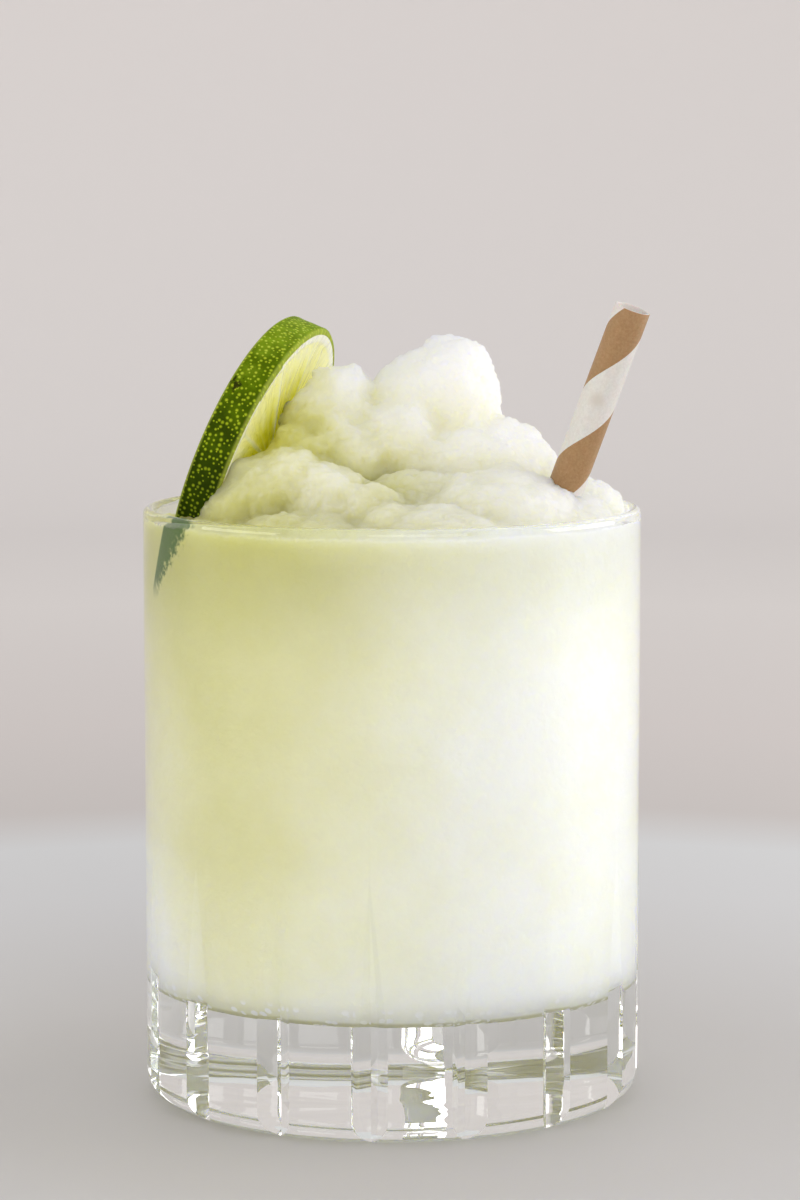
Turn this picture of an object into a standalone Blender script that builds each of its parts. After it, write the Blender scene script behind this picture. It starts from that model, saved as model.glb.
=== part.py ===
"""Frozen gin and tonic in its cut tumbler, with a lime wheel and a paper straw.

The tumbler stands on the origin with +Z up, and the drinker faces it from -Y. Sizes are millimetres,
turned into metres where a mesh is made.
"""
import math
import random

import bmesh
import bpy
from mathutils import Matrix, Vector, noise

MM = 0.001
GAP = 0.3  # clearance between two pieces that touch
WELD = 1e-4  # points nearer than this are one

# Tumbler: pressed and cut lead-free crystal, a straight wall on a thick solid base
GLASS_RADIUS = 41.5
GLASS_HEIGHT = 99.1
WALL_AT_RIM = 2.1
WALL_AT_BASE = 3.1
BASE_THICKNESS = 18.6
HEEL_RADIUS = 4.4
BOWL_CORNER = 5.0
TURN_STEPS = 96
ARC_STEPS = 6

# Mitre cuts: upright V grooves round the base that run out in points on the wall
CUT_COUNT = 16
CUT_PHASE = math.radians(-4.8)
CUT_DEPTH = 2.7
CUT_HALF_ANGLE = math.radians(49)
CUT_SHOULDER = 19.0
CUT_TOP = 43.0
CUT_CLEAR = 1.4  # how far a cutter reaches past the wall
CUT_BELOW = 1.0  # how far it starts under the foot
CUT_RUNOUT = 0.3  # how far its edge stands off the wall at its upper end

# Paper straw: a wound tube leaning to the right and toward the drinker
STRAW_RADIUS = 3.0
STRAW_WALL = 0.45
STRAW_LENGTH = 120.5
STRAW_LEAN = math.radians(21.3)
STRAW_HEADING = math.radians(-24.3)
STRAW_FOOT = (-0.7, 4.8)
STRAW_STEPS = 32
STRAW_EDGE = 0.08
BORE_BELOW = 5.0  # how far the straw's bore runs on past each of its ends

# Lime wheel: a slice across the fruit, leaning out against the wall of the mouth
LIME_RADIUS = 24.2
LIME_THICKNESS = 6.0
LIME_CENTRE = (-23.3, 7.0, 106.8)
LIME_TIP = math.radians(112)
LIME_TURN = math.radians(-16)
LIME_SEGMENTS = 10
LIME_STEPS = 64
LIME_PITH = 2.3  # peel and pith together
LIME_CORE = 1.6
LIME_SINK = 0.35  # how far the flesh lies below the membranes
LIME_MEMBRANE = 0.3  # half the width of a membrane
LIME_BANK = 0.6  # width of the slope from a membrane down to the flesh
LIME_SHELF = 0.5  # level ring of pith inside the peel's edge
LIME_EDGE = 0.35
LIME_LOBES = ((2, 0.008, 0.6), (5, 0.004, 0.0))  # waves round the outline, share of the radius, phase
FLESH_RINGS = (0.70, 0.45, 0.22)  # where rings of points cross the flesh, as shares of the radius

# Frozen drink: level inside the wall, then spooned lumps heaped over the rim
DRINK_LEVEL = 96.6
BLOCK_BOTTOM = 5.0  # the block under the lumps is cut to the bowl, so it starts well inside the base
BLOCK_MARGIN = 4.0
LUMP_SEED = 4
LUMP_DETAIL = 4
LUMP_VOXEL = 1.15
LUMP_ROUGHNESS = 1.1
LUMP_GRAIN = 6.5
LUMP_SHIFT = Vector((7.3, 3.1, 5.7))  # gives each lump a skin of its own
LUMP_BLEND = 0.5
LUMP_MELT = 8  # rounds of smoothing that run neighbouring lumps together
LUMP_FACES_KEPT = 0.1
ENVELOPE_TOP = 140.0

# One lump: centre x, y, z and half its width, depth and height
LUMPS = {
    "main heap": ((12.6, 4.0, 98.0), (18.0, 17.0, 15.8)),
    "heap shoulder": ((19.0, 2.0, 101.0), (9.5, 10.0, 11.6)),
    "front slope": ((17.0, -9.0, 95.0), (15.0, 20.0, 11.4)),
    "right slope": ((27.0, -4.0, 94.0), (11.5, 16.0, 7.6)),
    "scoop": ((10.6, 7.0, 117.4), (8.1, 8.2, 9.6)),
    "scoop side": ((3.8, 7.4, 116.6), (7.6, 7.6, 7.6)),
    "scoop foot": ((13.6, 6.8, 113.6), (5.2, 6.4, 7.0)),
    "scoop neck": ((10.2, 6.4, 110.0), (8.6, 9.0, 8.0)),
    "scoop root": ((1.0, 2.2, 108.4), (9.4, 9.0, 8.6)),
    "left heap": ((-6.5, 4.0, 102.0), (12.0, 13.0, 12.6)),
    "lime lump": ((-8.6, 4.0, 115.6), (6.0, 6.6, 6.8)),
    "lime lump side": ((-12.8, 1.6, 113.2), (6.0, 6.0, 5.8)),
    "lime lump foot": ((-10.2, -0.6, 109.6), (7.4, 6.6, 6.6)),
    "middle lump": ((-5.4, -3.0, 107.0), (6.2, 6.0, 5.8)),
    "left saddle": ((-14.0, -4.0, 100.8), (10.0, 10.0, 8.2)),
    "valley floor": ((-1.0, -10.0, 92.0), (20.0, 21.0, 9.8)),
    "front left lump": ((-18.2, -11.4, 101.8), (8.6, 9.0, 8.0)),
    "front left foot": ((-24.2, -11.0, 99.0), (7.6, 8.8, 8.2)),
    "front lump": ((-10.4, -15.4, 100.0), (8.2, 8.4, 7.2)),
    "front lump end": ((-4.2, -18.6, 97.8), (8.0, 7.6, 6.0)),
    "front ridge": ((0.6, -22.4, 95.6), (9.5, 8.0, 6.2)),
    "front ridge end": ((8.0, -26.5, 94.5), (12.0, 8.5, 6.2)),
    "front edge": ((-14.0, -24.0, 94.0), (14.0, 11.0, 6.4)),
    "right peak": ((33.0, 8.5, 96.0), (6.8, 8.0, 6.2)),
    "back left heap": ((-8.0, 18.0, 97.0), (14.0, 14.0, 11.5)),
    "back heap": ((8.0, 21.0, 97.0), (16.0, 14.0, 11.0)),
    "back right heap": ((22.0, 16.0, 97.0), (13.0, 14.0, 10.0)),
}
# A shallow hollow where the drink falls away from the wall behind the lime
HOLLOW_AT = (40.0, math.radians(170), 100.0)  # distance from the axis, bearing, height
HOLLOW_HALF = (5.5, 14.0, 7.5)  # into the drink, along the wall, up the wall
HOLLOW_SEED = 2.0
HOLLOW_DETAIL = 3


def principled(name, colour, roughness):
    material = bpy.data.materials.new(name)
    material.use_nodes = True
    shader = material.node_tree.nodes["Principled BSDF"]
    shader.inputs["Base Color"].default_value = (*colour, 1.0)
    shader.inputs["Roughness"].default_value = roughness
    shader.inputs["Metallic"].default_value = 0.0
    material.diffuse_color = (*colour, 1.0)
    return material


def add_object(name, mesh_data, material=None, sharp=math.radians(35)):
    """Turns a bmesh in millimetres into an object in metres, its faces pointing outwards."""
    bmesh.ops.recalc_face_normals(mesh_data, faces=mesh_data.faces)
    bmesh.ops.scale(mesh_data, vec=(MM, MM, MM), verts=mesh_data.verts)
    mesh = bpy.data.meshes.new(name)
    mesh_data.to_mesh(mesh)
    mesh_data.free()
    mesh.shade_smooth()
    mesh.set_sharp_from_angle(angle=sharp)
    made = bpy.data.objects.new(name, mesh)
    bpy.context.scene.collection.objects.link(made)
    if material:
        mesh.materials.append(material)
    return made


def add_cutter(name, mesh_data):
    cutter = add_object(name, mesh_data)
    cutter.hide_render = True
    cutter.display_type = "WIRE"
    return cutter


def add_boolean(target, other, operation):
    modifier = target.modifiers.new(f"{operation} {other.name}", "BOOLEAN")
    modifier.object = other
    modifier.operation = operation
    modifier.solver = "EXACT"


def arc(centre, radii, start, end, steps):
    """Points (radius, height) along an ellipse quarter or half, both ends included."""
    turns = [math.radians(start + (end - start) * i / steps) for i in range(steps + 1)]
    return [(centre[0] + radii[0] * math.cos(a), centre[1] + radii[1] * math.sin(a)) for a in turns]


def spun(profile, steps, phase=0.0):
    """A full turn of (radius, height) points about Z; points on the axis close the ends."""
    data = bmesh.new()
    points = [data.verts.new((radius, 0.0, height)) for radius, height in profile]
    for first, second in zip(points, points[1:]):
        data.edges.new((first, second))
    if profile[0][0] > 0:
        data.edges.new((points[-1], points[0]))
    bmesh.ops.spin(
        data, geom=data.verts[:] + data.edges[:], cent=(0, 0, 0), axis=(0, 0, 1),
        angle=2 * math.pi, steps=steps, use_merge=True,
    )
    bmesh.ops.remove_doubles(data, verts=data.verts, dist=WELD)
    bmesh.ops.rotate(data, cent=(0, 0, 0), matrix=Matrix.Rotation(phase, 3, "Z"), verts=data.verts)
    return data


def bowl_radius(height):
    """Radius of the wall's inner face: the wall thins evenly from the base to the rim."""
    share = (height - BASE_THICKNESS) / (GLASS_HEIGHT - BASE_THICKNESS)
    return GLASS_RADIUS - WALL_AT_BASE - (WALL_AT_RIM - WALL_AT_BASE) * share


def bowl_profile(clear, top):
    """Inner face from the axis over the rounded corner and up the wall, moved in by the clearance."""
    floor = BASE_THICKNESS + clear
    corner = BOWL_CORNER - clear
    side = bowl_radius(floor + corner) - clear
    turn = arc((side - corner, floor + corner), (corner, corner), -90, 0, ARC_STEPS)
    return [(0.0, floor)] + turn + [(bowl_radius(top) - clear, top)]


def cut_depth(height):
    """Depth of a mitre cut: even round the solid base, then tapering to nothing."""
    return CUT_DEPTH * min(1.0, (CUT_TOP - height) / (CUT_TOP - CUT_SHOULDER))


def mitre_cutters():
    """All the V-shaped cutters in one mesh, each a loft of triangles up the wall."""
    data = bmesh.new()
    spread = math.tan(CUT_HALF_ANGLE)
    outer = GLASS_RADIUS + CUT_CLEAR
    over_top = CUT_TOP + (CUT_TOP - CUT_SHOULDER) * CUT_RUNOUT / CUT_DEPTH
    for i in range(CUT_COUNT):
        turn = Matrix.Rotation(CUT_PHASE + 2 * math.pi * i / CUT_COUNT, 3, "Z")
        rings = []
        for height in (-CUT_BELOW, CUT_SHOULDER, CUT_TOP, over_top):
            apex = GLASS_RADIUS - cut_depth(height)
            half = (outer - apex) * spread
            corners = ((0.0, -apex), (half, -outer), (-half, -outer))
            rings.append([data.verts.new(turn @ Vector((x, y, height))) for x, y in corners])
        data.faces.new(rings[0])
        data.faces.new(rings[-1])
        for low, high in zip(rings, rings[1:]):
            for j in range(3):
                k = (j + 1) % 3
                data.faces.new((low[j], low[k], high[k], high[j]))
    return data


def build_tumbler():
    rim = (GLASS_RADIUS - bowl_radius(GLASS_HEIGHT)) / 2
    heel = arc((GLASS_RADIUS - HEEL_RADIUS, HEEL_RADIUS), (HEEL_RADIUS, HEEL_RADIUS), -90, 0, ARC_STEPS)
    lip = arc((GLASS_RADIUS - rim, GLASS_HEIGHT - rim), (rim, rim), 0, 180, ARC_STEPS)
    bowl = bowl_profile(0.0, GLASS_HEIGHT - rim)[:-1]
    profile = [(0.0, 0.0)] + heel + lip + bowl[::-1]
    crystal = principled("clear cut crystal", (0.90, 0.93, 0.92), 0.03)
    tumbler = add_object("glass_tumbler", spun(profile, TURN_STEPS, CUT_PHASE), crystal)
    add_boolean(tumbler, add_cutter("mitre_cutters", mitre_cutters()), "DIFFERENCE")


def straw_place():
    """Centre of the straw's lower end, which stands on the bowl's floor, and its turn."""
    turn = Matrix.Rotation(STRAW_HEADING, 4, "Z") @ Matrix.Rotation(STRAW_LEAN, 4, "Y")
    lift = BASE_THICKNESS + 2 * GAP + STRAW_RADIUS * math.sin(STRAW_LEAN)
    return Matrix.Translation(Vector((*STRAW_FOOT, lift))) @ turn


def place(made, matrix):
    """Sets an object's location and rotation from a placement in millimetres."""
    made.location = matrix.to_translation() * MM
    made.rotation_euler = matrix.to_euler()


def build_straw():
    outer, inner, edge = STRAW_RADIUS, STRAW_RADIUS - STRAW_WALL, STRAW_EDGE
    profile = [
        (inner + edge, 0.0), (outer - edge, 0.0), (outer, edge), (outer, STRAW_LENGTH - edge),
        (outer - edge, STRAW_LENGTH), (inner + edge, STRAW_LENGTH), (inner, STRAW_LENGTH - edge),
        (inner, edge),
    ]
    paper = principled("striped kraft paper", (0.80, 0.72, 0.62), 0.75)
    straw = add_object("paper_straw", spun(profile, STRAW_STEPS), paper)
    place(straw, straw_place())


def straw_pocket():
    """A round bore through the drink, a gap wider than the straw and open below."""
    data = bmesh.new()
    reach = STRAW_LENGTH + 2 * BORE_BELOW
    radius = STRAW_RADIUS + GAP
    bmesh.ops.create_cone(
        data, cap_ends=True, segments=STRAW_STEPS, radius1=radius, radius2=radius, depth=reach,
    )
    bmesh.ops.translate(data, vec=(0, 0, reach / 2 - BORE_BELOW), verts=data.verts)
    pocket = add_cutter("straw_pocket", data)
    place(pocket, straw_place())
    return pocket


def lime_place():
    turn = Matrix.Rotation(LIME_TURN, 4, "Z") @ Matrix.Rotation(LIME_TIP, 4, "Y")
    return Matrix.Translation(Vector(LIME_CENTRE)) @ turn


def lime_outline(angle):
    """The fruit is a little lobed, so its outline isn't a true circle."""
    return LIME_RADIUS * (1 + sum(high * math.sin(waves * angle + turn) for waves, high, turn in LIME_LOBES))


def flesh_sink(radius, angle):
    """How far the cut face lies below the pith: membranes stand up between the segments."""
    across = (angle * LIME_SEGMENTS / (2 * math.pi)) % 1.0
    from_membrane = min(across, 1 - across) * 2 * math.pi * radius / LIME_SEGMENTS
    bank = min(1.0, max(0.0, (from_membrane - LIME_MEMBRANE) / LIME_BANK))
    return LIME_SINK * bank


def build_lime():
    """A disc of rings: rounded peel edge, level pith, sunk segments and a pith core."""
    data = bmesh.new()
    half = LIME_THICKNESS / 2
    flesh_radius = LIME_RADIUS - LIME_PITH
    rings = []
    for side in (1, -1):
        rows = [
            (1.0, half - LIME_EDGE), (1.0 - LIME_EDGE / LIME_RADIUS, half),
            ((flesh_radius + LIME_SHELF) / LIME_RADIUS, half), (flesh_radius / LIME_RADIUS, None),
            *((share, None) for share in FLESH_RINGS), (LIME_CORE / LIME_RADIUS, half),
        ]
        side_rings = []
        for share, height in rows:
            ring = []
            for i in range(LIME_STEPS):
                angle = 2 * math.pi * i / LIME_STEPS
                radius = lime_outline(angle) * share
                level = half - flesh_sink(radius, angle) if height is None else height
                ring.append(data.verts.new((radius * math.cos(angle), radius * math.sin(angle), side * level)))
            side_rings.append(ring)
        data.faces.new(side_rings[-1])
        rings.append(side_rings)
    loops = rings[0][::-1] + rings[1]
    for first, second in zip(loops, loops[1:]):
        for i in range(LIME_STEPS):
            j = (i + 1) % LIME_STEPS
            data.faces.new((first[i], first[j], second[j], second[i]))
    bmesh.ops.triangulate(data, faces=[face for face in data.faces if len(face.verts) > 4])
    lime = add_object("lime_slice", data, principled("fresh lime", (0.24, 0.42, 0.05), 0.35))
    place(lime, lime_place())


def lime_pocket():
    """A plain disc a gap larger than the lime all round."""
    data = bmesh.new()
    radius = LIME_RADIUS * (1 + sum(high for _, high, _ in LIME_LOBES)) + GAP
    bmesh.ops.create_cone(
        data, cap_ends=True, segments=LIME_STEPS, radius1=radius, radius2=radius,
        depth=LIME_THICKNESS + 2 * GAP,
    )
    pocket = add_cutter("lime_pocket", data)
    place(pocket, lime_place())
    return pocket


def ellipsoid(data, centre, half_sizes, seed, detail=LUMP_DETAIL):
    """A lump of slush: a stretched ball, its skin roughened by smooth noise."""
    offset = seed * LUMP_SHIFT
    for vert in bmesh.ops.create_icosphere(data, subdivisions=detail, radius=1.0)["verts"]:
        outward = vert.co.normalized()
        vert.co = Vector(centre) + Vector(c * h for c, h in zip(outward, half_sizes))
        vert.co += outward * LUMP_ROUGHNESS * noise.noise(vert.co / LUMP_GRAIN + offset)


def wall_hollow():
    data = bmesh.new()
    ellipsoid(data, (0.0, 0.0, 0.0), HOLLOW_HALF, HOLLOW_SEED, HOLLOW_DETAIL)
    hollow = add_cutter("wall_hollow", data)
    distance, bearing, height = HOLLOW_AT
    turn = Matrix.Rotation(bearing, 4, "Z")
    place(hollow, turn @ Matrix.Translation(Vector((distance, 0.0, height))))
    return hollow


def build_drink():
    """The heap is one skin over a block and its lumps, kept to the bowl by its envelope."""
    random.seed(LUMP_SEED)
    data = bmesh.new()
    block_radius = GLASS_RADIUS + BLOCK_MARGIN
    bmesh.ops.create_cone(
        data, cap_ends=True, segments=TURN_STEPS, radius1=block_radius, radius2=block_radius,
        depth=DRINK_LEVEL - BLOCK_BOTTOM,
        matrix=Matrix.Translation(Vector((0, 0, (DRINK_LEVEL + BLOCK_BOTTOM) / 2))),
    )
    for centre, half_sizes in LUMPS.values():
        ellipsoid(data, centre, half_sizes, random.uniform(0, 10))
    slush = principled("lime slush", (0.86, 0.88, 0.66), 0.55)
    drink = add_object("frozen_drink", data, slush, sharp=math.radians(60))

    skin = drink.modifiers.new("one skin", "REMESH")
    skin.mode = "VOXEL"
    skin.voxel_size = LUMP_VOXEL * MM
    blend = drink.modifiers.new("melted edges", "SMOOTH")
    blend.factor = LUMP_BLEND
    blend.iterations = LUMP_MELT
    thin = drink.modifiers.new("fewer faces", "DECIMATE")
    thin.ratio = LUMP_FACES_KEPT

    envelope = spun(bowl_profile(GAP, ENVELOPE_TOP) + [(0.0, ENVELOPE_TOP)], TURN_STEPS, CUT_PHASE)
    add_boolean(drink, add_cutter("bowl_envelope", envelope), "INTERSECT")
    add_boolean(drink, wall_hollow(), "DIFFERENCE")
    add_boolean(drink, lime_pocket(), "DIFFERENCE")
    add_boolean(drink, straw_pocket(), "DIFFERENCE")


for stale in list(bpy.data.objects):
    bpy.data.objects.remove(stale)
build_tumbler()
build_straw()
build_lime()
build_drink()
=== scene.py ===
import math
import random

import bmesh
import bpy
from mathutils import Matrix, Vector, noise


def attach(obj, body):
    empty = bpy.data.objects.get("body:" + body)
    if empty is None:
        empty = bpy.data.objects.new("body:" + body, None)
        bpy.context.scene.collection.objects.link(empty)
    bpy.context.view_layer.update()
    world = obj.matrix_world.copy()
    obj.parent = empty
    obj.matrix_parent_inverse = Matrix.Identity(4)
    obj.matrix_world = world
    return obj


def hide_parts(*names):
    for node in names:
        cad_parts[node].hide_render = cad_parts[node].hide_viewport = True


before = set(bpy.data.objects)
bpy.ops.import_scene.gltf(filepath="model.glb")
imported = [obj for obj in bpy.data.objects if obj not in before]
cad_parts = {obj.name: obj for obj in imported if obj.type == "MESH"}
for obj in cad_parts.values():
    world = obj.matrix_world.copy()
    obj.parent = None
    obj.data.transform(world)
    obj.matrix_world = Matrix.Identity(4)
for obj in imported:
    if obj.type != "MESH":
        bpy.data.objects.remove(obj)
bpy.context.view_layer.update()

mm = 0.001  # sizes are in millimetres and angles in degrees, unless a note says otherwise
print("frame loaded:", sorted(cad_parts))

# settings that many nodes share
eased = {"interpolation_type": "SMOOTHSTEP"}
plus, minus, times, over, bearingOf, lengthOf, distanceTo = [{"operation": name} for name in (
    "ADD", "SUBTRACT", "MULTIPLY", "GREATER_THAN", "ARCTAN2", "LENGTH", "DISTANCE")]


def linear(hexCode):
    # sRGB hex to the linear colour that shaders take
    channels = [int(hexCode[i:i + 2], 16) / 255 for i in (1, 3, 5)]
    return (*[c / 12.92 if c <= 0.04045 else ((c + 0.055) / 1.055) ** 2.4 for c in channels], 1.0)


def newMaterial(name):
    material = bpy.data.materials.new(name)
    material.use_nodes = True
    material.node_tree.nodes.clear()
    return material, material.node_tree


def addNode(tree, kind, settings=None, inputs=None, links=None, stops=None):
    # one node with its settings, its socket values and what feeds it; a source is a socket,
    # or a node for its first output
    made = tree.nodes.new("ShaderNode" + kind)
    for key, value in (settings or {}).items():
        setattr(made, key, value)
    for key, value in (inputs or {}).items():
        made.inputs[key].default_value = value
    for key, source in (links or {}).items():
        tree.links.new(getattr(source, "outputs", [source])[0], made.inputs[key])
    if stops:
        ramp = made.color_ramp.elements
        while len(ramp) < len(stops):
            ramp.new(0.5)
        for element, (position, colour) in zip(ramp, stops):
            element.position = position
            element.color = linear(colour) if isinstance(colour, str) else (colour, colour, colour, 1.0)
    return made


def arc(centre, radii, start, end, steps):
    # (radius, height) points along an ellipse, both ends included
    turns = [math.radians(start + (end - start) * i / steps) for i in range(steps + 1)]
    return [(centre[0] + radii[0] * math.cos(a), centre[1] + radii[1] * math.sin(a)) for a in turns]


def lathe(points, steps, turn=0.0, closed=False):
    # a full turn of (radius, height) points; points on the axis close the ends
    bm = bmesh.new()
    row = [bm.verts.new((r, 0.0, z)) for r, z in points]
    for a, b in zip(row, row[1:]):
        bm.edges.new((a, b))
    if closed:
        bm.edges.new((row[-1], row[0]))
    bmesh.ops.spin(bm, geom=bm.verts[:] + bm.edges[:], cent=(0, 0, 0), axis=(0, 0, 1),
                   angle=2 * math.pi, steps=steps, use_merge=True)
    bmesh.ops.remove_doubles(bm, verts=bm.verts, dist=0.0005)
    bmesh.ops.recalc_face_normals(bm, faces=bm.faces)
    bmesh.ops.rotate(bm, verts=bm.verts, cent=(0, 0, 0), matrix=Matrix.Rotation(turn, 3, "Z"))
    return bm


def makePiece(name, bm, materials, sharp=40, place=None, scale=mm):
    # a finished piece: its place is in its mesh, and its object stays at the origin
    if place:
        bmesh.ops.transform(bm, matrix=place, verts=bm.verts)
    bmesh.ops.scale(bm, vec=(scale, scale, scale), verts=bm.verts)
    mesh = bpy.data.meshes.new(name)
    bm.to_mesh(mesh)
    bm.free()
    for material in materials:
        mesh.materials.append(material)
    mesh.shade_smooth()
    mesh.set_sharp_from_angle(angle=math.radians(sharp))
    piece = bpy.data.objects.new(name, mesh)
    bpy.context.scene.collection.objects.link(piece)
    return piece


def bakeModifiers(piece):
    # the evaluated shape becomes the piece's own mesh
    graph = bpy.context.evaluated_depsgraph_get()
    baked = bpy.data.meshes.new_from_object(piece.evaluated_get(graph))
    piece.modifiers.clear()
    piece.data = baked


def editMesh(piece):
    # the piece's mesh, opened for editing in millimetres
    bm = bmesh.new()
    bm.from_mesh(piece.data)
    bmesh.ops.scale(bm, vec=(1000, 1000, 1000), verts=bm.verts)
    return bm


def keepMesh(piece, bm):
    # back to metres and into the piece
    bmesh.ops.scale(bm, vec=(mm, mm, mm), verts=bm.verts)
    bm.to_mesh(piece.data)
    bm.free()


def cutAway(piece, bm, place=None):
    # takes the shape of another mesh out of the piece
    cutter = makePiece("cutter", bm, [], place=place)
    boolean = piece.modifiers.new("cut", "BOOLEAN")
    boolean.object = cutter
    boolean.solver = "EXACT"
    bakeModifiers(piece)
    bpy.data.objects.remove(cutter)


def smoothStep(low, high, value):
    t = min(1.0, max(0.0, (value - low) / (high - low)))
    return t * t * (3 - 2 * t)


# camera, with its place in metres
camera = {"lens": 120.0, "sensor": 36.0, "place": (0.00215, -0.6649, 0.1612), "pitch": 6.69, "yaw": 0.07}

cameraData = bpy.data.cameras.new("camera")
cameraData.lens = camera["lens"]
cameraData.sensor_width = camera["sensor"]
cameraObject = bpy.data.objects.new("camera", cameraData)
cameraObject.location = camera["place"]
cameraObject.rotation_euler = (math.radians(90 - camera["pitch"]), 0, math.radians(camera["yaw"]))
bpy.context.scene.collection.objects.link(cameraObject)
bpy.context.scene.camera = cameraObject

# tumbler
tumbler = {
    "radius": 41.5, "height": 99.1, "rimWall": 2.1, "baseWall": 3.1, "baseThick": 18.6,
    "heelRadius": 4.4, "bowlCorner": 5.0, "steps": 256, "arcSteps": 10, "sharp": 24,
    # upright cuts: full depth to the shoulder, run out at the top, then a faint crease above
    "cuts": 16, "cutPhase": -4.8, "cutDepth": 2.7, "cutHalfAngle": 49,
    "cutShoulder": 19.0, "cutTop": 43.0, "creaseDepth": 0.09, "creaseTop": 80.0,
    "cutterOut": 1.4, "cutterUnder": 1.0, "creaseOut": 0.02,  # how far the cutter stands clear of the glass
    # edge loops of the underside and of the wall
    "footRings": (6, 12, 17, 21, 25, 28.5, 31.5, 34),
    "wallRings": (4.6, 6.5, 9, 11.5, 14, 16.5, 19, 21.5, 24, 27, 30,
                  33, 36, 40, 43, 50, 60, 70, 80, 90, 96, 97.7),
    # size and height of the waves that pressing leaves in the underside and the wall
    "footHollow": 0.25, "footWaves": ((7.5, 0.10), (3.6, 0.035)),
    "skinWaves": ((11.0, 0.035), (5.0, 0.015)), "skinInward": 0.4,
}


def bowlRadius(height):
    # inner face of the wall, which thins evenly towards the rim
    t = tumbler
    share = (height - t["baseThick"]) / (t["height"] - t["baseThick"])
    return t["radius"] - t["baseWall"] - (t["rimWall"] - t["baseWall"]) * share


def bowlProfile(reach, top):
    # inner face from the axis over the rounded corner and up the wall, moved outwards by reach
    t = tumbler
    floor = t["baseThick"] - reach
    corner = t["bowlCorner"] + reach
    side = bowlRadius(floor + corner) + reach
    turn = arc((side - corner, floor + corner), (corner, corner), -90, 0, t["arcSteps"])
    return [(0.0, floor)] + turn + [(bowlRadius(top) + reach, top)]


def crystalMaterial():
    # pressed soda-lime crystal, fire polished: clear, mirror smooth, faintly cool where it is thick
    material, tree = newMaterial("pressed crystal glass")
    glass = addNode(tree, "BsdfPrincipled", inputs={
        "Base Color": linear("#fcfefd"), "Roughness": 0.0, "IOR": 1.5, "Transmission Weight": 1.0})
    clear = addNode(tree, "BsdfTransparent", inputs={"Color": linear("#f6f9f7")})
    path = addNode(tree, "LightPath")  # lamps shine straight through it, so it throws no hard shadow
    mix = addNode(tree, "MixShader", links={0: path.outputs["Is Shadow Ray"], 1: glass, 2: clear})
    addNode(tree, "OutputMaterial", links={"Surface": mix})
    return material


def mitreCutters():
    # each cutter is a triangle bridged from height to height, then turned round the base
    t = tumbler
    bm = bmesh.new()
    outer = t["radius"] + t["cutterOut"]
    spread = math.tan(math.radians(t["cutHalfAngle"]))
    stations = [(-t["cutterUnder"], t["cutDepth"]), (t["cutShoulder"], t["cutDepth"]),
                (t["cutTop"], t["creaseDepth"]), (t["creaseTop"], -t["creaseOut"])]
    for i in range(t["cuts"]):
        corners = []
        for height, depth in stations:
            apex = t["radius"] - depth
            half = (outer - apex) * spread
            triangle = ((0, -apex), (half, -outer), (-half, -outer))
            corners.append([bm.verts.new((x, y, height)) for x, y in triangle])
        new = [v for ring in corners for v in ring]
        rings = [[bm.edges.new((ring[j], ring[(j + 1) % 3])) for j in range(3)] for ring in corners]
        for low, high in zip(rings, rings[1:]):
            bmesh.ops.bridge_loops(bm, edges=low + high)
        bmesh.ops.contextual_create(bm, geom=corners[0])
        bmesh.ops.contextual_create(bm, geom=corners[-1])
        turn = Matrix.Rotation(math.radians(t["cutPhase"] + 360 * i / t["cuts"]), 3, "Z")
        bmesh.ops.rotate(bm, verts=new, cent=(0, 0, 0), matrix=turn)
    bmesh.ops.recalc_face_normals(bm, faces=bm.faces)
    return bm


def buildTumbler():
    t = tumbler
    lip = (t["radius"] - bowlRadius(t["height"])) / 2
    heelAt = (t["radius"] - t["heelRadius"], t["heelRadius"])
    heel = arc(heelAt, (t["heelRadius"],) * 2, -90, 0, t["arcSteps"])
    rim = arc((t["radius"] - lip, t["height"] - lip), (lip, lip), 0, 180, t["arcSteps"])
    wall = [(t["radius"], z) for z in t["wallRings"]]
    bowl = bowlProfile(0.0, t["height"] - lip)[:-1]
    foot = [(0, 0)] + [(r, 0) for r in t["footRings"]]
    bm = lathe(foot + heel + wall + rim + bowl[::-1], t["steps"], math.radians(t["cutPhase"]))
    footEdge = t["footRings"][-1]
    for v in bm.verts:
        # pressed in a mould, so the base is never quite flat or round
        radius = math.hypot(v.co.x, v.co.y)
        if v.co.z < 0.001 and radius < footEdge + 0.1:
            wave = sum(high * noise.noise(v.co / size + Vector((0, 0, size)))
                       for size, high in t["footWaves"])
            share = smoothStep(footEdge + 1, t["footRings"][-3], radius)
            v.co.z += share * max(0.0, t["footHollow"] + wave)
        elif radius > t["radius"] - 0.01 and v.co.z < t["creaseTop"]:
            wave = sum(high * noise.noise(v.co / size) - t["skinInward"] * high
                       for size, high in t["skinWaves"])
            v.co.x *= 1 + wave / radius
            v.co.y *= 1 + wave / radius
    piece = makePiece("tumblerGlass", bm, [crystalMaterial()])
    cutAway(piece, mitreCutters())
    piece.data.set_sharp_from_angle(angle=math.radians(t["sharp"]))
    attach(piece, "root")
    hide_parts("glass_tumbler")


buildTumbler()
print("tumbler made")

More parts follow.
